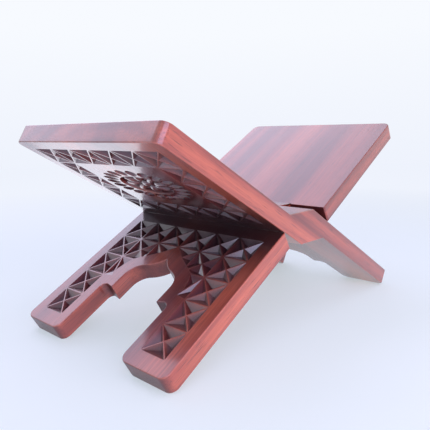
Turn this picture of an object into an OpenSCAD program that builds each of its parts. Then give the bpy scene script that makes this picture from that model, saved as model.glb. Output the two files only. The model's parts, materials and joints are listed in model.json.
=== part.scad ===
// Folding book stand (rehal) sawn from one hardwood plank.
// The plank is split into two layers from each end, down to a short zone at its middle.
// There, knuckles as thick as the plank pass from one layer to the other, so the two leaves
// turn through each other with no pin. Each leaf is a board in one layer, a pair of legs in
// the other layer, and the knuckles that join them.
//
// +X runs to the reader's right, +Y along the hinge away from the reader, +Z up.
// The origin is on the ground, under the middle of the hinge. The stand is drawn open.

/* [Plank] */
// Width of the plank, along the hinge
plank_w = 152.4; // [120:0.1:200]
// Thickness of the whole plank, both layers and the saw cut
plank_t = 28; // [24:0.5:34]
// Width of the saw cut between the two layers
saw_cut = 1.4; // [1:0.1:2.4]
// Length of a board, from the hinge line to its top edge
board_l = 153; // [140:1:200]
// Length of the legs, from the hinge line to the feet
leg_l = 154; // [145:1:200]
// Radius of the corners of the boards and feet
corner_r = 6; // [2:0.5:10]

/* [Hinge] */
// Tilt of each leaf from the vertical when the stand is open
open_tilt = 60.5; // [56:0.5:61.5]
// Number of knuckles across the plank, both leaves together
knuckles = 5; // [3:2:7]
// Gap between the flanks of neighbouring knuckles
flank_gap = 0.4; // [0.3:0.05:0.8]
// Gap left at the stop, where the end of one leaf meets the face of the other
stop_gap = 0.35; // [0.3:0.05:0.6]
// Relief between a knuckle's sloping face and the end of the other leaf, folded flat
slope_relief = 0.3; // [0.3:0.05:0.6]

/* [Legs] */
// Width of the opening between the two legs of a leaf
leg_gap = 71; // [60:1:80]
// Height of the plain part of the opening, from the feet to the step
leg_h = 47; // [40:1:50]
// Radius of the two corners under the step
step_r = 4.5; // [2:0.5:6]
// How far the lip at the inner end of the step hangs below it
lip_drop = 1.4; // [0.5:0.1:2.5]
// Half the width of the opening just above the step
throat_half = 24.4; // [22:0.2:27]
// Radius of the round lobe on each side of the arch
lobe_r = 13; // [12:0.5:14]
// Height of the lobes' centres above the feet
lobe_h = 59.5; // [57:0.5:61]
// Height of the point of the arch above the feet
point_h = 82.5; // [81:0.5:85]
// Direction in which a lobe hands over to the hollow curve that runs up to the point
handover = 73; // [70:1:75]

/* [Hidden] */
$fn = 64;

half_t = plank_t / 2;
half_cut = saw_cut / 2;
layer_t = half_t - half_cut;
pitch = plank_w / knuckles;
// The end wall of a leaf stands this far from the hinge line, so that its outer corner meets
// the other leaf's face when the stand is open.
wall_z = half_t * tan(open_tilt) + stop_gap;
// Distance of a knuckle's sloping face from the hinge line. The face is level when open.
slope_d = half_t * sin(open_tilt) - slope_relief;
// Height of the hinge line: the inner edges of the feet stand on the ground.
hinge_z = leg_l * cos(open_tilt) - half_cut * sin(open_tilt);
overlap = 2;

// Opening between the legs, as distances along the leaf from the hinge
step_z = leg_l - leg_h;
lobe_z = leg_l - lobe_h;
point_z = leg_l - point_h;
// Where a lobe hands over to the hollow curve, and the direction from the lobe's centre to there
handover_dir = [cos(handover), -sin(handover)];
handover_at = [throat_half - lobe_r, lobe_z] + lobe_r * handover_dir;

// Where the sloping face meets a plane parallel to the leaf at x
function slope_z(x) = (slope_d - x * sin(open_tilt)) / cos(open_tilt);

// The left leaf has the first, third and later odd knuckles, and the right leaf the others.
function knuckle_side(i) = i % 2 == 0 ? 1 : -1;
function knuckle_start(i) = -plank_w / 2 + i * pitch + (i == 0 ? 0 : flank_gap / 2);
function knuckle_end(i) = -plank_w / 2 + (i + 1) * pitch - (i == knuckles - 1 ? 0 : flank_gap / 2);

// Outline of a panel that reaches to l: square at the hinge end, rounded at the far end.
// It lies in the leaf's plane, with the hinge line along its lower edge.
module panel_outline(l) {
    translate([-plank_w / 2, wall_z]) square([plank_w, l - wall_z - corner_r]);
    translate([-plank_w / 2 + corner_r, wall_z]) square([plank_w - 2 * corner_r, l - wall_z]);
    for (side = [-1, 1])
        translate([side * (plank_w / 2 - corner_r), l - corner_r]) circle(corner_r);
}

// One side of the hollow curve from a lobe up to the point of the arch.
// The curve is an arc that leaves the lobe smoothly and passes through the point.
module ogee_hollow() {
    run = handover_at - [0, point_z];
    r = -(run * run) / (2 * (handover_dir * run));
    translate(handover_at + r * handover_dir) circle(r, $fn = 128);
}

// Opening between the legs: a wide plain part, a step with a pointed lip, a round lobe on
// each side and a pointed top. Distances along the leaf run from the hinge towards the feet.
module arch_outline() {
    foot = leg_l + 1;
    // Plain part, with rounded corners under the step and a lip that hangs at each inner end
    translate([-leg_gap / 2, step_z + step_r]) square([leg_gap, foot - step_z - step_r]);
    difference() {
        translate([-leg_gap / 2 + step_r, step_z]) square([leg_gap - 2 * step_r, foot - step_z]);
        for (side = [-1, 1])
            polygon([[side * throat_half, step_z - 1], [side * throat_half, step_z + lip_drop],
                     [side * (leg_gap / 2 - step_r), step_z], [side * leg_gap / 2, step_z - 1]]);
    }
    for (side = [-1, 1])
        translate([side * (leg_gap / 2 - step_r), step_z + step_r]) circle(step_r);
    // Rounded inner corners of the feet
    for (side = [0, 1])
        mirror([side, 0]) difference() {
            translate([leg_gap / 2 - 1, leg_l - corner_r]) square([corner_r + 1, corner_r + 1]);
            translate([leg_gap / 2 + corner_r, leg_l - corner_r]) circle(corner_r);
        }
    // Throat and lobes
    translate([-throat_half, lobe_z]) square([2 * throat_half, step_z - lobe_z + 1]);
    for (side = [-1, 1])
        translate([side * (throat_half - lobe_r), lobe_z]) circle(lobe_r);
    // Pointed top, between two hollow curves
    difference() {
        polygon([[-handover_at[0], handover_at[1]], [0, point_z], handover_at,
                 [handover_at[0], lobe_z], [-handover_at[0], lobe_z]]);
        ogee_hollow();
        mirror([1, 0]) ogee_hollow();
    }
}

// The panels stand on edge: the outline's first axis runs along the hinge and its second axis
// up the leaf. A panel's thickness runs from x0 towards +X.
module stand_up(x0) {
    translate([x0, 0, 0]) rotate([90, 0, 90]) linear_extrude(layer_t) children();
}

// Section of a knuckle: it carries on from the board in one layer, crosses the plank between
// two sloping faces, and carries on as the top of the legs in the other layer.
module knuckle_section() {
    polygon([
        [-half_t, wall_z + overlap],
        [-half_cut, wall_z + overlap],
        [-half_cut, slope_z(-half_cut)],
        [half_t, slope_z(half_t)],
        [half_t, -wall_z - overlap],
        [half_cut, -wall_z - overlap],
        [half_cut, -slope_z(-half_cut)],
        [-half_t, -slope_z(half_t)]
    ]);
}

// A leaf, folded flat, with its board on the -X side. which is 1 for the odd knuckles.
module leaf(which) {
    stand_up(-half_t) panel_outline(board_l);
    stand_up(half_cut) mirror([0, 1]) difference() {
        panel_outline(leg_l);
        arch_outline();
    }
    for (i = [0 : knuckles - 1])
        if (knuckle_side(i) == which)
            translate([0, knuckle_end(i), 0]) rotate([90, 0, 0])
                linear_extrude(knuckle_end(i) - knuckle_start(i)) knuckle_section();
}

// Leaf with its board to the left and its legs to the right
module left_leaf() {
    color([0.40, 0.17, 0.13])
        translate([0, 0, hinge_z]) rotate([0, -open_tilt, 0]) leaf(1);
}

// Leaf with its board to the right and its legs to the left
module right_leaf() {
    color([0.45, 0.20, 0.15])
        translate([0, 0, hinge_z]) rotate([0, open_tilt, 0]) mirror([1, 0, 0]) leaf(-1);
}

left_leaf();
right_leaf();
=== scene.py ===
# %% [markdown]
# # A carved folding book stand
#
# The stand (a rehal) is sawn from one hardwood plank. The plank is split into two layers from
# each end, and a few knuckles at the middle are left as thick as the plank, so the two leaves
# turn through each other with no pin. Each leaf has a board in one layer and a pair of legs in
# the other. Both outer faces are chip carved, and the whole stand is lacquered.
#
# The frame comes first: it holds the two leaves as they were designed, so that everything made
# here can be set in its place without fitting by eye.

# %% Load the frame
import math
import random
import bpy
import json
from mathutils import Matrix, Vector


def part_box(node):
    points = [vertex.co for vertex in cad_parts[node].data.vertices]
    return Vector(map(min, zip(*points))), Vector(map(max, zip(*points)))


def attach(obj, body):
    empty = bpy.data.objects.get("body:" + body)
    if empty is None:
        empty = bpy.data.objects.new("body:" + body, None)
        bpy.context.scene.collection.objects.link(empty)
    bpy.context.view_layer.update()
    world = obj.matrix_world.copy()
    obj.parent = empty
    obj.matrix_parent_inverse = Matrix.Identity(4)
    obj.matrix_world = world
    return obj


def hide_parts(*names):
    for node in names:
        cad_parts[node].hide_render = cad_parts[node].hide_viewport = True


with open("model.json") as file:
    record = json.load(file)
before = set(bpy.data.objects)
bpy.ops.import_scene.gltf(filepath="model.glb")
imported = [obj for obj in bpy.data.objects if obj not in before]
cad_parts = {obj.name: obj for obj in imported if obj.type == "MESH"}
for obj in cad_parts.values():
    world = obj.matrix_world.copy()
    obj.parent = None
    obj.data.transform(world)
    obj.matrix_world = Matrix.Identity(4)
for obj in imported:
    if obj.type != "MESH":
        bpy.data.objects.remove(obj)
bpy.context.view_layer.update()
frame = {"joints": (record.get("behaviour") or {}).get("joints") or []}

import bmesh
import bpy
from mathutils import Matrix, Vector
from mathutils.kdtree import KDTree

# %% [markdown]
# ## Measures of the plank
#
# A maker marks out a rehal from a handful of numbers: the width and thickness of the plank, the
# saw cut between its layers, the length of a leaf and how far the leaves open. The outside
# sizes come from the frame, and the rest repeat the design. The leaf is modelled folded flat,
# with its thickness along X, the hinge along Y and its length along Z, and is opened at the end,
# because square faces are much easier to select and carve than tilted ones. The end walls of one
# leaf are drawn almost touching the faces of the other, so that no line of light shows there.

# %% Measures, in metres
MM = 0.001
fold = frame["joints"][0]
hinge_line = Vector(fold["pos_m"])
open_tilt = math.radians(fold["range_deg"][1] / 2)
half_width = (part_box("left_leaf")[1].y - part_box("left_leaf")[0].y) / 2
half_plank = 14 * MM
half_cut = 0.7 * MM
leaf_length = 153 * MM
leg_length = 154 * MM
corner_round = 6 * MM
stop_gap = 0.004 * MM
slope_relief = 0.3 * MM
wall_z = half_plank * math.tan(open_tilt) + stop_gap
slope_distance = half_plank * math.sin(open_tilt) - slope_relief
knuckle_count = 5
knuckle_pitch = 2 * half_width / knuckle_count
flank_gap = 0.4 * MM
print("plank", 2 * half_width, "wide, hinge at", hinge_line, "tilt", math.degrees(open_tilt))

# %% [markdown]
# ## The camera
#
# The viewer stands at the near left corner and looks slightly down, so that the underside of one
# board and the top of the legs below it are both in sight. The camera is aimed first, because
# every later choice of detail depends on what can be seen from there.

# %% Aim the camera
view_azimuth = math.radians(-47.25)
view_elevation = math.radians(9.40)
view_roll = math.radians(-0.69)
view_distance = 0.4066
view_target = hinge_line + Vector((-0.0075, 0.0083, 0.0009))
view_direction = Vector((
    -math.sin(view_azimuth) * math.cos(view_elevation),
    math.cos(view_azimuth) * math.cos(view_elevation),
    -math.sin(view_elevation),
))

bpy.ops.object.camera_add()
camera = bpy.context.object
camera.name = "viewer"
camera.data.lens = 41.22
camera.data.sensor_width = 36
camera.data.clip_start = 0.01
camera.matrix_world = (
    Matrix.Translation(view_target - view_direction * view_distance)
    @ view_direction.to_track_quat("-Z", "Y").to_matrix().to_4x4()
    @ Matrix.Rotation(view_roll, 4, "Z")
)
bpy.context.scene.camera = camera
print("camera at", tuple(round(c, 4) for c in camera.location))

# %% [markdown]
# ## Drawing with one vertex
#
# Sawn outlines are straight lines and arcs, so they are drawn as a maker would with a pencil:
# one loose vertex is extruded along each line and spun round each arc, the outline is filled,
# and the face is extruded to the thickness of the layer. This keeps the corners and arcs exact,
# which a box with moved vertices would not.

# %% Pencil helpers
def pick_only(piece):
    """Leaves one object selected and active."""
    bpy.ops.object.select_all(action="DESELECT")
    piece.select_set(True)
    bpy.context.view_layer.objects.active = piece


def start_outline(name, point):
    """Puts a single loose vertex at point and stays in edit mode."""
    bpy.ops.object.select_all(action="DESELECT")
    bpy.ops.mesh.primitive_plane_add(size=MM)
    bpy.context.object.name = name
    bpy.ops.object.mode_set(mode="EDIT")
    bpy.ops.mesh.select_all(action="SELECT")
    bpy.ops.mesh.merge(type="CENTER")
    bpy.ops.transform.translate(value=point)
    return Vector(point)


def line_to(pen, point):
    """Draws a straight line and returns where the pencil is."""
    step = Vector(point) - pen
    bpy.ops.mesh.extrude_vertices_move(TRANSFORM_OT_translate={"value": step})
    return Vector(point)


def arc_to(pen, centre, point, turn, steps):
    """Draws an arc in the leaf's plane. turn is 1 with +Y right and +Z up for anticlockwise."""
    start = pen - Vector(centre)
    end = Vector(point) - Vector(centre)
    sweep = math.atan2(end.z, end.y) - math.atan2(start.z, start.y)
    sweep = turn * ((turn * sweep) % (2 * math.pi))
    bpy.ops.mesh.spin(steps=steps, angle=-sweep, center=centre, axis=(1, 0, 0))
    return Vector(point)


def fill_outline(thickness):
    """Closes the outline, fills it and extrudes the face by the vector thickness."""
    bpy.ops.mesh.select_all(action="SELECT")
    bpy.ops.mesh.remove_doubles(threshold=0.01 * MM)
    bpy.ops.mesh.edge_face_add()
    bpy.ops.mesh.extrude_region_move(TRANSFORM_OT_translate={"value": thickness})
    bpy.ops.mesh.select_all(action="SELECT")
    bpy.ops.mesh.normals_make_consistent(inside=False)
    bpy.ops.object.mode_set(mode="OBJECT")
    return bpy.context.object


def select_faces(piece, test):
    """Enters edit mode with only the faces that pass the test selected."""
    bpy.ops.object.mode_set(mode="EDIT")
    bpy.ops.mesh.select_mode(type="FACE")
    bpy.ops.mesh.select_all(action="DESELECT")
    bpy.ops.object.mode_set(mode="OBJECT")
    for face in piece.data.polygons:
        face.select = test(face)
    bpy.ops.object.mode_set(mode="EDIT")


def apply_modifier(piece, kind, **settings):
    """Adds a modifier, sets it and applies it."""
    pick_only(piece)
    modifier = piece.modifiers.new(kind.lower(), kind)
    for name, value in settings.items():
        setattr(modifier, name, value)
    bpy.ops.object.modifier_apply(modifier=modifier.name)


# %% [markdown]
# ## The board
#
# The board is the half of the leaf that holds the book: a plain rectangle with small rounded
# corners at its free end. It lies in the layer on the -X side of the saw cut.

# %% Draw the board
side_y = half_width
turn_y = half_width - corner_round
turn_z = leaf_length - corner_round

pen = start_outline("board", (-half_plank, -side_y, wall_z))
pen = line_to(pen, (-half_plank, -side_y, turn_z))
pen = arc_to(pen, (-half_plank, -turn_y, turn_z), (-half_plank, -turn_y, leaf_length), -1, 10)
pen = line_to(pen, (-half_plank, turn_y, leaf_length))
pen = arc_to(pen, (-half_plank, turn_y, turn_z), (-half_plank, side_y, turn_z), -1, 10)
pen = line_to(pen, (-half_plank, side_y, wall_z))
board = fill_outline((half_plank - half_cut, 0, 0))
print("board", [round(1000 * size, 1) for size in board.dimensions], "mm")

# %% [markdown]
# ## The legs
#
# The legs are the other end of the leaf, in the layer on the +X side. A fretsaw opens an arch
# between them: a wide plain part at the feet, a step with a small hanging lip, a round lobe and
# a hollow curve that rises to a point. The arch is symmetrical, so half of it is drawn and the
# Mirror modifier makes the other half, which keeps both sides of the point alike.

# %% Draw half of the legs and mirror it
foot_y = 35.5 * MM
foot_turn_y = foot_y + corner_round
foot_turn_z = -(leg_length - corner_round)
step_z = -(leg_length - 47 * MM)
step_round = 4.5 * MM
lip_drop = 1.4 * MM
throat_y = 24.4 * MM
lobe_round = 13 * MM
lobe_z = -(leg_length - 59.5 * MM)
point_z = -(leg_length - 82.5 * MM)
handover = math.radians(73)

layer_x = half_cut
lobe_centre = Vector((layer_x, -(throat_y - lobe_round), lobe_z))
outward = Vector((0, -math.cos(handover), math.sin(handover)))
lobe_end = lobe_centre + lobe_round * outward
arch_point = Vector((layer_x, 0, point_z))
run = lobe_end - arch_point
hollow_round = -run.length_squared / (2 * outward.dot(run))
hollow_centre = lobe_end + hollow_round * outward

pen = start_outline("legs", (layer_x, 0, -wall_z))
pen = line_to(pen, (layer_x, -side_y, -wall_z))
pen = line_to(pen, (layer_x, -side_y, foot_turn_z))
pen = arc_to(pen, (layer_x, -turn_y, foot_turn_z), (layer_x, -turn_y, -leg_length), 1, 10)
pen = line_to(pen, (layer_x, -foot_turn_y, -leg_length))
pen = arc_to(pen, (layer_x, -foot_turn_y, foot_turn_z), (layer_x, -foot_y, foot_turn_z), 1, 10)
pen = line_to(pen, (layer_x, -foot_y, step_z - step_round))
pen = arc_to(pen, (layer_x, -foot_y + step_round, step_z - step_round),
             (layer_x, -foot_y + step_round, step_z), -1, 8)
pen = line_to(pen, (layer_x, -throat_y, step_z - lip_drop))
pen = line_to(pen, (layer_x, -throat_y, lobe_z))
pen = arc_to(pen, lobe_centre, lobe_end, -1, 12)
pen = arc_to(pen, hollow_centre, arch_point, 1, 12)
pen = line_to(pen, (layer_x, 0, -wall_z))
legs = fill_outline((half_plank - half_cut, 0, 0))
select_faces(legs, lambda face: abs(face.center.y) < 0.01 * MM)
bpy.ops.mesh.delete(type="FACE")
bpy.ops.mesh.select_mode(type="VERT")
bpy.ops.object.mode_set(mode="OBJECT")
apply_modifier(legs, "MIRROR", use_axis=(False, True, False), use_clip=True, merge_threshold=0.02 * MM)
print("legs", [round(1000 * size, 1) for size in legs.dimensions], "mm")

# %% [markdown]
# ## A knuckle
#
# A knuckle carries on from the board in one layer, crosses the whole plank between two sloping
# faces, and carries on into the legs in the other layer. The sloping faces lie level when the
# stand is open. One knuckle is drawn and copied, as a maker would mark all of them from one
# template. The outermost knuckles have no neighbour on one side, so that side is pushed out to
# the edge of the plank.

# %% Draw one knuckle
def slope_z(x):
    """Where the sloping face of a knuckle meets the plane at x."""
    return (slope_distance - x * math.sin(open_tilt)) / math.cos(open_tilt)


overlap = 2 * MM
knuckle_low = -knuckle_pitch / 2 + flank_gap / 2
knuckle_width = knuckle_pitch - flank_gap
pen = start_outline("knuckle", (-half_plank, knuckle_low, wall_z + overlap))
for x, z in [
    (-half_cut, wall_z + overlap),
    (-half_cut, slope_z(-half_cut)),
    (half_plank, slope_z(half_plank)),
    (half_plank, -wall_z - overlap),
    (half_cut, -wall_z - overlap),
    (half_cut, -slope_z(-half_cut)),
    (-half_plank, -slope_z(half_plank)),
]:
    pen = line_to(pen, (x, knuckle_low, z))
knuckle = fill_outline((0, knuckle_width, 0))
print("knuckle", [round(1000 * size, 1) for size in knuckle.dimensions], "mm")


# %% Copy and join helpers
def copy_of(piece, offset=(0, 0, 0)):
    """A copy with its own mesh, moved by offset."""
    pick_only(piece)
    bpy.ops.object.duplicate(linked=False)
    twin = bpy.context.object
    bpy.ops.transform.translate(value=offset)
    bpy.ops.object.transform_apply(location=True, rotation=True, scale=True)
    return twin


def remove(piece):
    """Deletes an object that has done its work."""
    pick_only(piece)
    bpy.ops.object.delete()


def joined(pieces, name):
    """Joins several objects into one."""
    bpy.ops.object.select_all(action="DESELECT")
    for piece in pieces:
        piece.select_set(True)
    bpy.context.view_layer.objects.active = pieces[0]
    bpy.ops.object.join()
    pieces[0].name = name
    return pieces[0]


def knuckle_at(number):
    """Copy of the knuckle at its place along the hinge, pushed out to the plank's edge if last."""
    twin = copy_of(knuckle, (0, (number - (knuckle_count - 1) / 2) * knuckle_pitch, 0))
    for last, side in [(0, -1), (knuckle_count - 1, 1)]:
        if number != last:
            continue
        bpy.ops.object.mode_set(mode="EDIT")
        bpy.ops.mesh.select_all(action="DESELECT")
        bpy.ops.object.mode_set(mode="OBJECT")
        for vertex in twin.data.vertices:
            vertex.select = side * vertex.co.y > half_width - flank_gap
        bpy.ops.object.mode_set(mode="EDIT")
        bpy.ops.transform.translate(value=(0, side * flank_gap / 2, 0))
        bpy.ops.object.mode_set(mode="OBJECT")
    return twin


# %% [markdown]
# ## The leaf blank
#
# On the real stand board, knuckles and legs are one piece of wood: nothing is glued. So the
# parts drawn so far are united with the Boolean modifier, and a limited dissolve takes away the
# seams left between flat areas, because a bevel would otherwise stop at each of them.

# %% Unite board, legs and knuckles
def leaf_blank(name, knuckle_numbers):
    """One leaf, folded flat, as one closed solid."""
    leaf = copy_of(board)
    leaf.name = name
    for part in [copy_of(legs)] + [knuckle_at(number) for number in knuckle_numbers]:
        apply_modifier(leaf, "BOOLEAN", object=part, operation="UNION", solver="EXACT")
        remove(part)
    pick_only(leaf)
    bpy.ops.object.mode_set(mode="EDIT")
    bpy.ops.mesh.select_all(action="SELECT")
    bpy.ops.mesh.remove_doubles(threshold=0.005 * MM)
    bpy.ops.mesh.dissolve_limited(angle_limit=math.radians(0.5))
    bpy.ops.mesh.select_all(action="SELECT")
    bpy.ops.mesh.normals_make_consistent(inside=False)
    bpy.ops.object.mode_set(mode="OBJECT")
    return leaf


left_leaf = leaf_blank("left_leaf_wood", [0, 2, 4])
right_leaf = leaf_blank("right_leaf_wood", [1, 3])
for leaf in (left_leaf, right_leaf):
    print(leaf.name, len(leaf.data.polygons), "faces")

# %% [markdown]
# ## Softened edges
#
# The maker sands the outside edges of the boards and legs round, eases the fretsawn arch a
# little less, and only breaks the corners of the knuckles, since they have to fit. The edge of
# an end wall that meets the other leaf stays sharp, so that the joint closes. Each edge gets a
# bevel weight for that, chosen by where it lies, and one Bevel modifier rounds them all, so the
# rounds meet cleanly where they change size.

# %% Round the edges
widest_round = 1.6 * MM
side_round = 0.8 * MM
arch_round = 0.7 * MM
knuckle_round = 0.3 * MM
wall_round = 0.02 * MM
corner_break = 1.6 * MM
close = 0.1 * MM
sharp = math.radians(25)


def round_at(edge):
    """Size of the round along an edge, from where it lies on the leaf."""
    middle = (edge.verts[0].co + edge.verts[1].co) / 2
    along = (edge.verts[1].co - edge.verts[0].co).normalized()
    on_side = abs(middle.y) > half_width - corner_round
    at_end = abs(middle.z) > leaf_length - corner_round
    on_wall = abs(abs(middle.z) - wall_z) < close
    if on_wall and abs(along.y) > 0.9 and abs(abs(middle.x) - half_plank) < close:
        return wall_round
    if abs(along.x) > 0.9 and on_side and on_wall:
        return corner_break
    if abs(along.x) < 0.1 and abs(middle.z) > wall_z + close:
        if on_side or at_end:
            return side_round
        return arch_round
    if on_side and abs(abs(middle.y) - half_width) < close:
        return side_round
    return knuckle_round


def round_edges(leaf):
    """Weights every sharp outer edge and bevels the leaf."""
    shape = bmesh.new()
    shape.from_mesh(leaf.data)
    weight = shape.edges.layers.float.new("bevel_weight_edge")
    rounded = 0
    for edge in shape.edges:
        if edge.is_convex and edge.calc_face_angle(0) > sharp:
            edge[weight] = round_at(edge) / widest_round
            rounded += 1
        elif edge.calc_face_angle(0) > sharp and abs(edge.verts[0].co.z) > wall_z + MM:
            edge[weight] = arch_round / widest_round
            rounded += 1
    shape.to_mesh(leaf.data)
    shape.free()
    apply_modifier(leaf, "BEVEL", width=widest_round, limit_method="WEIGHT", segments=5,
                   offset_type="OFFSET", use_clamp_overlap=False)
    print(leaf.name, rounded, "edges rounded,", len(leaf.data.polygons), "faces")


for leaf in (left_leaf, right_leaf):
    round_edges(leaf)

# %% [markdown]
# ## Chip carving
#
# Each square of the pattern is split by its diagonals, and each of the four triangles is cut to
# a pit with three slanting facets by three strokes of a knife. The pit lies nearer the middle of
# the square, so the facet next to the square's side is wide and catches the light, and the two
# along the diagonals are steep and dark. Thin ridges are left between the pits.
#
# One square is modelled as a cutter: a plane is poked into four triangles, they are inset to
# leave the ridges, extruded and poked to a point. It is copied to each square of the pattern,
# with small differences, since every chip is cut by hand.

# %% One square of four chips
cell_width = 22.1 * MM
cell_height = 21.44 * MM
ridge = 0.3 * MM
crest_width = 0.28 * MM
crest_drop = 0.03 * MM
above = 1.0 * MM
below_crest = -0.5 * MM
chip_depth = 3.5 * MM
pit_pull = 0.62


def cutters_from_faces(depth):
    """Turns the selected flat faces into cutters: a wall above the surface and a pit below."""
    bpy.ops.mesh.select_mode(type="FACE")
    bpy.ops.mesh.inset(thickness=ridge / 2, use_individual=True, use_even_offset=True)
    bpy.ops.mesh.select_all(action="INVERT")
    bpy.ops.mesh.delete(type="FACE")
    bpy.ops.mesh.select_all(action="SELECT")
    bpy.ops.transform.translate(value=(0, 0, above))
    bpy.ops.mesh.extrude_region_move(TRANSFORM_OT_translate={"value": (0, 0, -above)})
    bpy.ops.mesh.inset(thickness=crest_width, depth=-crest_drop, use_individual=True,
                       use_even_offset=True)
    bpy.ops.mesh.poke(offset=crest_drop - depth)
    bpy.ops.mesh.select_all(action="SELECT")
    bpy.ops.mesh.select_mode(type="EDGE")
    bpy.ops.mesh.fill_holes(sides=6)
    bpy.ops.mesh.select_all(action="SELECT")
    bpy.ops.mesh.normals_make_consistent(inside=False)
    bpy.ops.mesh.select_mode(type="VERT")


def select_pits(piece):
    """Selects the deepest points of the cutters in edit mode."""
    bpy.ops.mesh.select_all(action="DESELECT")
    bpy.ops.object.mode_set(mode="OBJECT")
    for vertex in piece.data.vertices:
        vertex.select = vertex.co.z < below_crest
    bpy.ops.object.mode_set(mode="EDIT")


bpy.ops.object.select_all(action="DESELECT")
bpy.ops.mesh.primitive_plane_add(size=1)
chip_square = bpy.context.object
chip_square.name = "chip_square"
bpy.ops.object.mode_set(mode="EDIT")
bpy.ops.mesh.select_all(action="SELECT")
bpy.ops.transform.resize(value=(cell_width, cell_height, 1))
bpy.ops.mesh.poke(offset=0)
cutters_from_faces(chip_depth)
select_pits(chip_square)
bpy.ops.transform.resize(value=(pit_pull, pit_pull, 1), center_override=(0, 0, 0))
bpy.ops.object.mode_set(mode="OBJECT")
print("square of chips", [round(1000 * size, 1) for size in chip_square.dimensions], "mm")

# %% [markdown]
# ## The pattern on both faces
#
# The same grid of six columns and five rows is marked on both faces of a leaf. On the board the
# outer ring of squares is carved, and the middle is left smooth for an ornament. On the legs the
# squares run across the top and down each leg. Where the arch comes near, a square keeps only
# some of its triangles, cut shorter to leave a smooth border along the arch.

# %% Place the squares
first_row = 36.0 * MM
hand = random.Random(7)
most_aside = 0.35
most_deeper = 0.25


def square_centre(column, row):
    """Middle of a square. Columns run from -2.5 to 2.5, rows from 0 at the hinge."""
    return Vector((column * cell_width, first_row + (row + 0.5) * cell_height, 0))


def loosen_pits(piece):
    """Moves each pit a little, by part of a millimetre, as a knife in the hand would."""
    for vertex in piece.data.vertices:
        if vertex.co.z < below_crest:
            vertex.co.x += hand.uniform(-most_aside, most_aside) * MM
            vertex.co.y += hand.uniform(-most_aside, most_aside) * MM
            vertex.co.z += hand.uniform(-most_deeper, most_deeper) * MM


def squares_at(places, name):
    """The carved squares of one face as one object."""
    squares = []
    for column, row in places:
        twin = copy_of(chip_square, square_centre(column, row))
        loosen_pits(twin)
        squares.append(twin)
    return joined(squares, name)


columns = [-2.5, -1.5, -0.5, 0.5, 1.5, 2.5]
board_places = [(c, r) for r in range(5) for c in columns if r in (0, 4) or abs(c) == 2.5]
leg_places = [(c, r) for r in range(5) for c in columns if r == 0 or abs(c) == 2.5]
board_chips = squares_at(board_places, "board_chips")
leg_squares = squares_at(leg_places, "leg_squares")
print(len(board_places), "squares on the board,", len(leg_places), "on the legs")

# %% Cut the triangles beside the arch
# Corners are counted in squares: from the middle of the leaf outwards, then from the first row
# down. The last number of each chip is its depth in millimetres.
short_chips = [
    ([(1, 1), (2, 1), (1.5, 1.5)], 2.7),
    ([(2, 1), (2, 2), (1.5, 1.5)], 2.7),
    ([(1, 1), (1.5, 1.5), (1.15, 1.83), (1, 1.755)], 2.3),
    ([(2, 2), (1.38, 2), (1.17, 1.84), (1.5, 1.5)], 2.3),
    ([(0, 1), (1, 1), (0.5, 1.43)], 2.5),
    ([(1, 1), (1, 1.755), (0.76, 1.6), (0.5, 1.43)], 2.1),
    ([(2, 2), (2, 3), (1.59, 2.93)], 2.0),
    ([(2, 2), (1.59, 2.87), (1.64, 2.62), (1.57, 2.34), (1.41, 2.02)], 2.0),
]


def short_chip(corners, depth, side):
    """One chip cutter with the given corners, on side -1 or 1 of the leaf."""
    bpy.ops.object.select_all(action="DESELECT")
    bpy.ops.mesh.primitive_circle_add(vertices=len(corners), radius=MM, fill_type="NGON")
    chip = bpy.context.object
    for vertex, (u, v) in zip(chip.data.vertices, corners):
        vertex.co = (side * u * cell_width, first_row + v * cell_height, 0)
    bpy.ops.object.mode_set(mode="EDIT")
    bpy.ops.mesh.select_all(action="SELECT")
    bpy.ops.mesh.normals_make_consistent(inside=False)
    bpy.ops.object.mode_set(mode="OBJECT")
    if chip.data.polygons[0].normal.z < 0:
        chip.data.flip_normals()
    bpy.ops.object.mode_set(mode="EDIT")
    bpy.ops.mesh.select_all(action="SELECT")
    cutters_from_faces(depth * MM)
    bpy.ops.object.mode_set(mode="OBJECT")
    return chip


leg_chips = joined([leg_squares] + [
    short_chip(corners, depth, side) for corners, depth in short_chips for side in (-1, 1)
], "leg_chips")
print("chips on the legs:", len(leg_chips.data.polygons), "cutter faces")

# %% [markdown]
# ## The ornament
#
# The smooth middle of the board carries an oval rosette in two parts. Outside is a ring of gouge
# cuts, deep and steep at their outer ends and running out to nothing towards the middle. Inside,
# a shallow ground is sunk and a ring of plump petals and a button are left standing in it. The
# rosette is made round and then stretched to an oval, so that its cuts lengthen towards the
# ends as they do on a drawn oval.

# %% One gouge cut, as a ball that is stretched, tapered and tilted
def ball(name, size, place):
    """A stretched ball in the pattern's space."""
    bpy.ops.object.select_all(action="DESELECT")
    bpy.ops.mesh.primitive_uv_sphere_add(segments=28, ring_count=14, radius=0.5)
    piece = bpy.context.object
    piece.name = name
    bpy.ops.object.mode_set(mode="EDIT")
    bpy.ops.mesh.select_all(action="SELECT")
    bpy.ops.transform.resize(value=size)
    bpy.ops.transform.translate(value=place)
    bpy.ops.object.mode_set(mode="OBJECT")
    return piece


def turned_copies(piece, count, first_angle):
    """Copies of a piece turned round the middle of the rosette."""
    ring = []
    for number in range(count):
        twin = copy_of(piece)
        turn = Matrix.Rotation(first_angle + number * math.tau / count, 4, "Z")
        for vertex in twin.data.vertices:
            vertex.co = turn @ vertex.co
        ring.append(twin)
    remove(piece)
    return ring


gouge_count = 20
gouge_length = 10.4 * MM
gouge_width = 6.3 * MM
gouge_height = 7.2 * MM
gouge_middle = 18.8 * MM
# The ball is tilted by this much over its length, about the given part of the length
gouge_tilt = 1.8 * MM
level_place = 0.70
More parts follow.
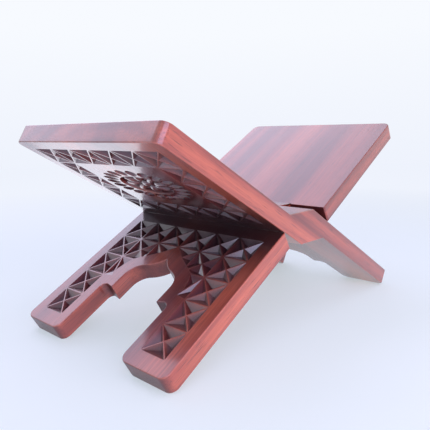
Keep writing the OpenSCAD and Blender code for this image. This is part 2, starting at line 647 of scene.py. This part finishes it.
# Its inner end is this slender, and it swells to its full width before its outer end
thin_end = 0.25
swelling = 1.3
gouge = ball("gouge_cut", (gouge_length, gouge_width, gouge_height), (0, 0, 0))
for vertex in gouge.data.vertices:
    outwards = vertex.co.x / gouge_length + 0.5
    slimmer = thin_end + (1 - thin_end) * math.sin(min(1.0, swelling * outwards) * math.pi / 2)
    vertex.co.y *= slimmer
    vertex.co.z = vertex.co.z * slimmer + gouge_tilt * (level_place - outwards)
    vertex.co.x += gouge_middle
gouge_cuts = turned_copies(gouge, gouge_count, math.pi / gouge_count)
print("gouge cuts", len(gouge_cuts))

# %% The sunk ground with petals and a button left standing
ground_round = 14.6 * MM
ground_depth = 2.8 * MM
# The wall round the ground leans in a little, as a chisel leaves it
ground_taper = 0.95
petal_count = 8
petal_size = (9.6 * MM, 5.0 * MM, 5.2 * MM)
petal_place = (8.9 * MM, 0, -2.75 * MM)
button_size = (6.6 * MM, 6.6 * MM, 5.2 * MM)
rosette_stretch = 1.7
rosette_middle = 90.7 * MM
bpy.ops.object.select_all(action="DESELECT")
bpy.ops.mesh.primitive_circle_add(vertices=72, radius=ground_round, fill_type="NGON")
ground = bpy.context.object
ground.name = "sunk_ground"
bpy.ops.object.mode_set(mode="EDIT")
bpy.ops.mesh.select_all(action="SELECT")
bpy.ops.transform.translate(value=(0, 0, above))
bpy.ops.mesh.extrude_region_move(TRANSFORM_OT_translate={"value": (0, 0, -above - ground_depth)})
bpy.ops.transform.resize(value=(ground_taper, ground_taper, 1))
bpy.ops.mesh.select_all(action="SELECT")
bpy.ops.mesh.normals_make_consistent(inside=False)
bpy.ops.object.mode_set(mode="OBJECT")

standing = turned_copies(ball("petal", petal_size, petal_place), petal_count, 0)
standing.append(ball("button", button_size, (0, 0, -ground_depth)))
for piece in standing:
    apply_modifier(ground, "BOOLEAN", object=piece, operation="DIFFERENCE", solver="EXACT")
    remove(piece)
rosette = joined([ground] + gouge_cuts, "rosette")
for vertex in rosette.data.vertices:
    vertex.co.x *= rosette_stretch
    vertex.co.y += rosette_middle
print("rosette", [round(1000 * size, 1) for size in rosette.dimensions], "mm")

# %% [markdown]
# ## Small nicks
#
# The outer edge of a board's free end is what gets knocked when the stand is carried or put
# down on its face. A few small stretched balls on that edge are the cutters for its nicks. They
# lie at uneven distances, because an even row would look made on purpose.

# %% Five nicks along the outer edge of the board's free end
nick_round = 1.0 * MM
nick_sink = 0.1 * MM
nick_x = -half_plank + nick_sink
nick_z = leaf_length - nick_sink
nick_places = [(-57, 1.6), (-24, 2.6), (9, 2.0), (38, 3.0), (41.5, 1.4)]
nicks = joined([
    ball("nick", (nick_round, length * MM, nick_round), (nick_x, place * MM, nick_z))
    for place, length in nick_places
], "nicks")
print("nicks", len(nick_places))

# %% [markdown]
# ## Carve the leaves
#
# The cutters were modelled face up. They are turned to stand on the outer face of the board or
# of the legs, and the Boolean modifier takes them out of both leaves. The deep points of the
# cutters are remembered with their depth, so that the finish can be darker in the pits, where
# stain and lacquer gather and where shade is painted into the colour.
#
# The cuts leave large faces with holes in them, and points that lie almost on each other. The
# faces are made triangles first, and the close points are merged after that, because merging
# a point of a many-sided face can take the whole face away.

# %% Turn the cutters to their faces and cut
board_turn = Matrix(((0, 0, -1), (-1, 0, 0), (0, 1, 0))).to_4x4()
legs_turn = Matrix(((0, 0, 1), (-1, 0, 0), (0, -1, 0))).to_4x4()


def set_on_face(cutter, turn, x):
    """Turns a cutter from face up to the outer face at x."""
    cutter.matrix_world = Matrix.Translation((x, 0, 0)) @ turn
    pick_only(cutter)
    bpy.ops.object.transform_apply(location=True, rotation=True, scale=True)


set_on_face(board_chips, board_turn, -half_plank)
set_on_face(rosette, board_turn, -half_plank)
set_on_face(leg_chips, legs_turn, half_plank)

least_hollow = 0.4
least_depth = 0.01 * MM
pits = []
for cutter in (board_chips, rosette, leg_chips):
    for vertex in cutter.data.vertices:
        depth = half_plank - abs(vertex.co.x)
        if depth > least_depth:
            hollow_here = least_hollow + (1 - least_hollow) * depth / chip_depth
            pits.append((vertex.co.copy(), min(1.0, hollow_here)))

for leaf in (left_leaf, right_leaf):
    for cutter in (board_chips, rosette, leg_chips, nicks):
        apply_modifier(leaf, "BOOLEAN", object=cutter, operation="DIFFERENCE", solver="EXACT")
    apply_modifier(leaf, "TRIANGULATE")
    bpy.ops.object.mode_set(mode="EDIT")
    bpy.ops.mesh.select_all(action="SELECT")
    bpy.ops.mesh.remove_doubles(threshold=0.002 * MM)
    bpy.ops.object.mode_set(mode="OBJECT")
    print(leaf.name, len(leaf.data.polygons), "faces after carving")

# %% [markdown]
# ## Marks of making and use
#
# A finish that is the same all over looks like plastic. Four values are stored on the mesh for
# the finish to read. Hollow grows from the rim of a pit to 1 in its depth, and the finish darkens
# the pits with it, as stain and as painted shade. Worn is 1 along the rounded outer edges, and
# crest is 1 on the narrow shoulders of the chips, which the finish paints lighter as a highlight.
# End grain is high where the saw crossed the fibres, which drink more stain, on the feet. It is
# also high on the end walls inside the joint, where the darkening it brings is painted shade.
# The ends of the boards get less of it than the feet.

# %% Store hollow, worn, crest and end grain
pit_tree = KDTree(len(pits))
for number, (place, depth) in enumerate(pits):
    pit_tree.insert(place, number)
pit_tree.balance()

rim = 3 * MM
same_place = 0.02 * MM
joint_reach = 30 * MM
board_end_share = 0.3
crest_reach = 0.06 * MM
# How far a normal's largest part falls short of 1 on a vertex in the middle of a round
corner_lean = 0.29
# Limits on the parts of a normal: edge on to the layer, square to the grain, lying in the face
edge_on = 0.15
square_cut = 0.9
in_face = 0.9995


def mark_leaf(leaf):
    """Stores the four values on a leaf that lies folded flat."""
    hollow = leaf.data.attributes.new("hollow", "FLOAT", "POINT")
    worn = leaf.data.attributes.new("worn", "FLOAT", "POINT")
    for vertex in leaf.data.vertices:
        number, distance = pit_tree.find(vertex.co)[1:]
        if distance < same_place:
            hollow.data[vertex.index].value = pits[number][1]
            continue
        flattest = max(abs(component) for component in vertex.normal)
        if abs(vertex.normal.x) < edge_on:
            continue
        if abs(vertex.co.y) > half_width - rim or abs(vertex.co.z) > leaf_length - rim:
            worn.data[vertex.index].value = min(1.0, (1 - flattest) / corner_lean)
    crest = leaf.data.attributes.new("crest", "FLOAT", "FACE")
    end_grain = leaf.data.attributes.new("end_grain", "FLOAT", "FACE")
    for face in leaf.data.polygons:
        across = face.normal.z ** 2
        # On the feet the darker end grain is stain; on the end walls inside the joint it is painted
        # shade for the narrow gap. The ends of the boards get less.
        in_joint = abs(face.center.z) < joint_reach
        end_darkening = 1.0 if face.center.z < 0 or in_joint else board_end_share
        spared = in_joint and across < square_cut
        end_grain.data[face.index].value = 0.0 if spared else end_darkening * across
        # The shoulders of the chips are marked here so that the finish paints them lighter, as a
        # highlight
        depths = [half_plank - abs(leaf.data.vertices[v].co.x) for v in face.vertices]
        tilted = abs(face.normal.x) < in_face
        if max(depths) < crest_reach and tilted and abs(face.center.y) < half_width - rim:
            crest.data[face.index].value = 1.0


# %% Mark both leaves
for leaf in (left_leaf, right_leaf):
    mark_leaf(leaf)
for helper in (board, legs, knuckle, chip_square, board_chips, leg_chips, rosette, nicks):
    remove(helper)

# %% [markdown]
# ## Open the leaves
#
# The right leaf is the left one's mirror image, apart from its knuckles. Each leaf is turned
# about the hinge line to the open position that the frame gives, and the turn is applied, so
# that its object sits at the origin and its place is in its mesh. Shading comes last: faces
# that meet at a small angle are shaded smoothly, and weighted normals keep the flats flat.

# %% Turn each leaf about the hinge and shade it
def open_leaf(leaf, side):
    """side is -1 for the leaf whose board is to the left."""
    if side > 0:
        for vertex in leaf.data.vertices:
            vertex.co.x = -vertex.co.x
        leaf.data.flip_normals()
    leaf.matrix_world = Matrix.Translation(hinge_line) @ Matrix.Rotation(side * open_tilt, 4, "Y")
    pick_only(leaf)
    bpy.ops.object.transform_apply(location=True, rotation=True, scale=True)
    bpy.ops.object.shade_smooth_by_angle(angle=math.radians(18))
    apply_modifier(leaf, "WEIGHTED_NORMAL", keep_sharp=True)


open_leaf(left_leaf, -1)
open_leaf(right_leaf, 1)
print("left", [round(1000 * size, 1) for size in left_leaf.dimensions], "mm")

# %% [markdown]
# ## Lacquered hardwood
#
# The colour comes from the plank itself, so the pattern is laid out in the plank's own space:
# both leaves were sawn from it, and a Mapping node folds each leaf back flat before the pattern
# is read. Growth rings round a distant heart and slow noise make broad streaks along the grain,
# and thin fibres and open pores run with them. Stain darkens the sawn ends, and stain with
# painted shade darkens the carved pits. Painted shade darkens the end walls inside the joint and
# the outer faces close to the hinge. Sanding lightens the edges, a painted highlight lightens the
# shoulders of the chips, and a hard lacquer covers all of it, thinner where the end grain has
# drunk it.

# %% Node helpers
def node(material, kind, **settings):
    """Adds a node and sets its properties."""
    made = material.node_tree.nodes.new(kind)
    for name, value in settings.items():
        setattr(made, name, value)
    return made


def link(material, output, target):
    """Joins an output to an input."""
    material.node_tree.links.new(output, target)


def stretched(material, source, scale, location=(0, 0, 0)):
    """The plank's space, squeezed along the grain so that a pattern runs with it."""
    mapping = node(material, "ShaderNodeMapping")
    mapping.inputs["Scale"].default_value = scale
    mapping.inputs["Location"].default_value = location
    link(material, source, mapping.inputs["Vector"])
    return mapping.outputs["Vector"]


def noise(material, source, scale, detail, roughness=0.5):
    """Noise texture read at source."""
    made = node(material, "ShaderNodeTexNoise")
    made.inputs["Scale"].default_value = scale
    made.inputs["Detail"].default_value = detail
    made.inputs["Roughness"].default_value = roughness
    link(material, source, made.inputs["Vector"])
    return made.outputs["Fac"]


def spread(material, source, low, high, to_low=0.0, to_high=1.0):
    """Stretches the range low to high of a value to to_low to to_high."""
    made = node(material, "ShaderNodeMapRange")
    made.inputs["From Min"].default_value = low
    made.inputs["From Max"].default_value = high
    made.inputs["To Min"].default_value = to_low
    made.inputs["To Max"].default_value = to_high
    link(material, source, made.inputs["Value"])
    return made.outputs["Result"]


def blended(material, amount, first, second, mode="MIX"):
    """Colour between first and second. Each may be a colour or an output."""
    made = node(material, "ShaderNodeMix", data_type="RGBA", blend_type=mode)
    if isinstance(amount, float):
        made.inputs["Factor"].default_value = amount
    else:
        link(material, amount, made.inputs["Factor"])
    for name, value in (("A", first), ("B", second)):
        socket = [entry for entry in made.inputs if entry.name == name and entry.type == "RGBA"][0]
        if isinstance(value, tuple):
            socket.default_value = (*value, 1)
        else:
            link(material, value, socket)
    return [entry for entry in made.outputs if entry.type == "RGBA"][0]


def total(material, first, second, operation="ADD"):
    """Arithmetic on two values."""
    made = node(material, "ShaderNodeMath", operation=operation)
    for place, value in enumerate((first, second)):
        if isinstance(value, float):
            made.inputs[place].default_value = value
        else:
            link(material, value, made.inputs[place])
    return made.outputs["Value"]


def size_of(material, value):
    """The value without its sign."""
    made = node(material, "ShaderNodeMath", operation="ABSOLUTE")
    link(material, value, made.inputs[0])
    return made.outputs["Value"]


def stored(material, name):
    """One of the values stored on the mesh."""
    return node(material, "ShaderNodeAttribute", attribute_name=name).outputs["Fac"]


# %% Colours of the wood, its stains, and its painted shade and highlight
dark_wood = (0.13, 0.024, 0.022)
red_wood = (0.28, 0.055, 0.038)
light_wood = (0.46, 0.105, 0.060)
pore_colour = (0.035, 0.010, 0.009)
end_stain_and_joint_shade = (0.050, 0.012, 0.013)
rubbed_wood = (0.50, 0.17, 0.12)
crest_painted_highlight = (0.45, 0.20, 0.17)
pit_stain_and_shade = (0.045, 0.008, 0.013)
# The corner colour below is painted shade, a dark colour laid on the outer faces near the hinge where
# shade falls. It stops this far from the sides.
corner_painted_shade = (0.020, 0.007, 0.009)
painted_shade_side_margin = 1.2 * MM
print("the corner painted shade stops", 1000 * painted_shade_side_margin, "mm from the side")


# %% The wood
def lacquered_wood(name, side):
    """Wood of one leaf. side is -1 for the leaf whose board is to the left."""
    wood = bpy.data.materials.new(name)
    wood.use_nodes = True
    shader = wood.node_tree.nodes["Principled BSDF"]

    # Fold the leaf back into the plank
    place = node(wood, "ShaderNodeTexCoord")
    plank = node(wood, "ShaderNodeMapping", vector_type="TEXTURE")
    plank.inputs["Location"].default_value = hinge_line
    plank.inputs["Rotation"].default_value = (0, side * open_tilt, 0)
    link(wood, place.outputs["Object"], plank.inputs["Vector"])
    grain_space = plank.outputs["Vector"]

    # Growth rings round a heart outside the plank, bent by slow noise, then finer patterns
    rings = node(wood, "ShaderNodeTexWave", wave_type="RINGS", rings_direction="Z")
    rings.inputs["Scale"].default_value = 26
    rings.inputs["Distortion"].default_value = 3.0
    rings.inputs["Detail"].default_value = 3.0
    rings.inputs["Detail Scale"].default_value = 0.9
    link(wood, stretched(wood, grain_space, (1, 1, 0.12), (0.11, 0.03, 0)), rings.inputs["Vector"])
    streaks = noise(wood, stretched(wood, grain_space, (1, 1, 0.08), (0.31, 0.17, 0)), 24, 3.0, 0.55)
    fibres = noise(wood, stretched(wood, grain_space, (1, 1, 0.03)), 650, 3.0, 0.6)
    patches = noise(wood, stretched(wood, grain_space, (1, 1, 0.35)), 16, 2.0)
    pore_noise = noise(wood, stretched(wood, grain_space, (1, 1, 0.045)), 1500, 1.0)
    pores = spread(wood, pore_noise, 0.62, 0.72)

    # From dark heartwood to light wood
    from_streaks = spread(wood, streaks, 0.34, 0.66, 0.0, 0.68)
    from_rings = spread(wood, rings.outputs["Fac"], 0.0, 1.0, 0.0, 0.30)
    from_patches = spread(wood, patches, 0.3, 0.7, -0.1, 0.1)
    tone = total(wood, total(wood, from_streaks, from_rings), from_patches)
    ramp = node(wood, "ShaderNodeValToRGB")
    ramp.color_ramp.elements[0].position = 0.15
    ramp.color_ramp.elements[0].color = (*dark_wood, 1)
    ramp.color_ramp.elements[1].position = 0.9
    ramp.color_ramp.elements[1].color = (*light_wood, 1)
    middle = ramp.color_ramp.elements.new(0.5)
    middle.color = (*red_wood, 1)
    link(wood, tone, ramp.inputs["Fac"])

    fibre_shade = blended(wood, spread(wood, fibres, 0.3, 0.7), (0.72, 0.70, 0.72), (1.12, 1.12, 1.1))
    body = blended(wood, 1.0, ramp.outputs["Color"], fibre_shade, "MULTIPLY")
    body = blended(wood, total(wood, pores, 0.55, "MULTIPLY"), body, pore_colour)
    # End grain is darkened: stain on the feet, painted shade on the end walls inside the joint
    end_darkening = total(wood, stored(wood, "end_grain"), 0.8, "MULTIPLY")
    body = blended(wood, end_darkening, body, end_stain_and_joint_shade)

    # Edges that hands rub, a painted highlight on the shoulders of the chips, and stain with painted
    # shade in the pits
    rubbed = total(wood, stored(wood, "worn"), spread(wood, patches, 0.35, 0.65, 0.2, 0.5), "MULTIPLY")
    body = blended(wood, rubbed, body, rubbed_wood)
    body = blended(wood, total(wood, stored(wood, "crest"), 0.3, "MULTIPLY"), body, crest_painted_highlight)
    # Pits darken with their depth, as stain that gathers there and as painted shade in the recess
    in_pit = spread(wood, stored(wood, "hollow"), 0.0, 0.7, 0.0, 0.82)
    body = blended(wood, in_pit, body, pit_stain_and_shade)

    # Painted shade darkens the outer faces towards the corner between board and legs, where shade
    # falls
    parts = node(wood, "ShaderNodeSeparateXYZ")
    link(wood, grain_space, parts.inputs["Vector"])
    from_middle = size_of(wood, parts.outputs["X"])
    along_hinge = size_of(wood, parts.outputs["Y"])
    from_hinge = size_of(wood, parts.outputs["Z"])
    inside_edge = total(wood, along_hinge, half_width - painted_shade_side_margin, "LESS_THAN")
    outer_face = total(wood, spread(wood, from_middle, 8 * MM, 11 * MM), inside_edge, "MULTIPLY")
    beyond_wall = total(wood, from_hinge, wall_z, "GREATER_THAN")
    fading = spread(wood, from_hinge, 38 * MM, 86 * MM, 0.92, 0.0)
    in_corner = total(wood, fading, total(wood, outer_face, beyond_wall, "MULTIPLY"), "MULTIPLY")
    body = blended(wood, in_corner, body, corner_painted_shade)
    link(wood, body, shader.inputs["Base Color"])

    # Fibres and pores show through the lacquer a little
    rough = spread(wood, fibres, 0.2, 0.8, 0.28, 0.42)
    link(wood, rough, shader.inputs["Roughness"])
    relief = total(wood, fibres, total(wood, pores, -1.5, "MULTIPLY"))
    bump = node(wood, "ShaderNodeBump")
    bump.inputs["Strength"].default_value = 0.35
    bump.inputs["Distance"].default_value = 0.00012
    link(wood, relief, bump.inputs["Height"])
    link(wood, bump.outputs["Normal"], shader.inputs["Normal"])

    # The lacquer, thinner on thirsty end grain
    shader.inputs["Specular IOR Level"].default_value = 0.4
    shader.inputs["Specular Tint"].default_value = (0.80, 0.62, 1.0, 1)
    lacquer = spread(wood, stored(wood, "end_grain"), board_end_share, 1.0, 1.0, 0.2)
    link(wood, lacquer, shader.inputs["Coat Weight"])
    shader.inputs["Coat Roughness"].default_value = 0.12
    shader.inputs["Coat IOR"].default_value = 1.65
    return wood


for leaf, body, slot, side in (
    (left_leaf, "left_leaf", "left_wood", -1),
    (right_leaf, "right_leaf", "right_wood", 1),
):
    leaf.data.materials.clear()
    leaf.data.materials.append(lacquered_wood(slot + "_lacquered", side))
    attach(leaf, body)
    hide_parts(body)
    print(leaf.name, "rides on", body)

# %% [markdown]
# ## Floor and backdrop
#
# The stand is shown on plain pale paper. The floor is a wide disc, and round it stands a glowing
# bowl that is seen directly and in the lacquer, but sends no soft light and casts no shadow. The
# floor also glows a little, so that the shadows on it stay pale, and farther out it fades into
# the colour of the bowl, so that there is no line where the floor ends.

# %% Pale floor
bpy.ops.object.select_all(action="DESELECT")
bpy.ops.mesh.primitive_circle_add(vertices=128, radius=2.2, fill_type="NGON")
floor = bpy.context.object
floor.name = "floor"

paper = bpy.data.materials.new("pale_paper")
paper.use_nodes = True
paper_shader = paper.node_tree.nodes["Principled BSDF"]
paper_place = node(paper, "ShaderNodeTexCoord")
paper_reach = node(paper, "ShaderNodeVectorMath", operation="LENGTH")
link(paper, paper_place.outputs["Object"], paper_reach.inputs[0])
far_off = spread(paper, paper_reach.outputs["Value"], 0.3, 0.95)
paper_colour = blended(paper, far_off, (0.52, 0.54, 0.57), (0.02, 0.02, 0.02))
paper_glow = blended(paper, far_off, (0.38, 0.44, 0.46), (0.85, 0.885, 0.97))
link(paper, paper_colour, paper_shader.inputs["Base Color"])
link(paper, paper_glow, paper_shader.inputs["Emission Color"])
paper_shader.inputs["Roughness"].default_value = 0.5
paper_shader.inputs["Specular IOR Level"].default_value = 0
paper_shader.inputs["Emission Strength"].default_value = 1
floor.data.materials.append(paper)
print("floor", round(floor.dimensions.x, 2), "m across")

# %% Glowing bowl behind it
bowl_round = 2.0
bowl_steps = 8
bowl_rise = 0.25
bowl_spread = 0.06
bpy.ops.object.select_all(action="DESELECT")
bpy.ops.mesh.primitive_circle_add(vertices=128, radius=bowl_round, fill_type="NOTHING")
bowl = bpy.context.object
bowl.name = "bowl"
bpy.ops.object.mode_set(mode="EDIT")
bpy.ops.mesh.select_all(action="SELECT")
bpy.ops.transform.translate(value=(0, 0, 0.001))
for step in range(1, bowl_steps + 1):
    angle = step * math.pi / (2 * bowl_steps)
    wider = 1 + bowl_spread * math.cos(angle)
    bpy.ops.mesh.extrude_region_move(
        TRANSFORM_OT_translate={"value": (0, 0, bowl_rise * math.sin(angle))})
    bpy.ops.transform.resize(value=(wider, wider, 1))
bpy.ops.mesh.extrude_region_move(TRANSFORM_OT_translate={"value": (0, 0, 3)})
bpy.ops.object.mode_set(mode="OBJECT")
bowl.visible_diffuse = False
bowl.visible_shadow = False

glow = bpy.data.materials.new("glowing_paper")
glow.use_nodes = True
glow_shader = glow.node_tree.nodes["Principled BSDF"]
glow_place = node(glow, "ShaderNodeTexCoord")
glow_height = node(glow, "ShaderNodeSeparateXYZ")
link(glow, glow_place.outputs["Object"], glow_height.inputs["Vector"])
glow_colour = blended(glow, spread(glow, glow_height.outputs["Z"], 0.0, 0.7),
                      (0.86, 0.895, 0.98), (0.93, 0.955, 1.0))
glow_shader.inputs["Base Color"].default_value = (0, 0, 0, 1)
glow_shader.inputs["Specular IOR Level"].default_value = 0
link(glow, glow_colour, glow_shader.inputs["Emission Color"])
glow_shader.inputs["Emission Strength"].default_value = 1
bowl.data.materials.append(glow)
print("bowl", round(bowl.dimensions.x, 2), "m across")

# %% [markdown]
# ## Light
#
# A dim sky and four soft panels light the stand. The wide panel above and behind it gives the
# book faces their pale sheen. The near lamp is warm and brings out the red of the long edges: it
# is kept out of the reflections, because as a mirror image it would be a hard white patch. The
# overhead panel and the cool window fill in. A fifth, low card lies just above the floor under
# the stand. It is only seen in the lacquer, where it makes the bright sheen on the underside of
# a board. The space between board and legs faces none of them and stays dark.

# %% Sky and lamps
world = bpy.data.worlds.new("studio")
bpy.context.scene.world = world
world.use_nodes = True
sky = world.node_tree.nodes["Background"]
sky.inputs["Color"].default_value = (0.85, 0.88, 1.0, 1)
sky.inputs["Strength"].default_value = 0.35


def soft_lamp(name, place, width, height, brightness, colour):
    """A soft panel that faces the stand. brightness is what the eye sees of it, paper being 1."""
    bpy.ops.object.light_add(type="AREA", location=place)
    lamp = bpy.context.object
    lamp.name = name
    lamp.data.shape = "RECTANGLE"
    lamp.data.size = width
    lamp.data.size_y = height
    lamp.data.energy = brightness * math.pi * width * height
    lamp.data.color = colour
    lamp.visible_camera = False
    lamp.rotation_euler = (hinge_line - Vector(place)).to_track_quat("-Z", "Y").to_euler()
    return lamp


soft_lamp("back_panel", (0.12, 0.85, 0.95), 1.5, 1.1, 1.4, (0.80, 0.70, 1.0))
near_lamp = soft_lamp("near_lamp", (-0.14, -1.10, 0.16), 1.2, 0.3, 12, (1.0, 0.86, 0.88))
near_lamp.visible_glossy = False
soft_lamp("overhead", (-0.10, -0.35, 1.25), 0.8, 0.8, 1.3, (0.85, 0.72, 1.0))
soft_lamp("window", (-0.85, -1.13, 0.95), 1.5, 0.8, 3, (0.62, 0.66, 1.0))
low_card = soft_lamp("low_card", (0.04, 0.22, 0.004), 0.36, 0.26, 0.8, (0.93, 0.95, 1.0))
low_card.rotation_euler = (math.pi, 0, 0)
low_card.visible_diffuse = False
bpy.context.scene.view_settings.view_transform = "Standard"
lamps = [thing.name for thing in bpy.context.scene.objects if thing.type == "LIGHT"]
print("lamps", lamps)
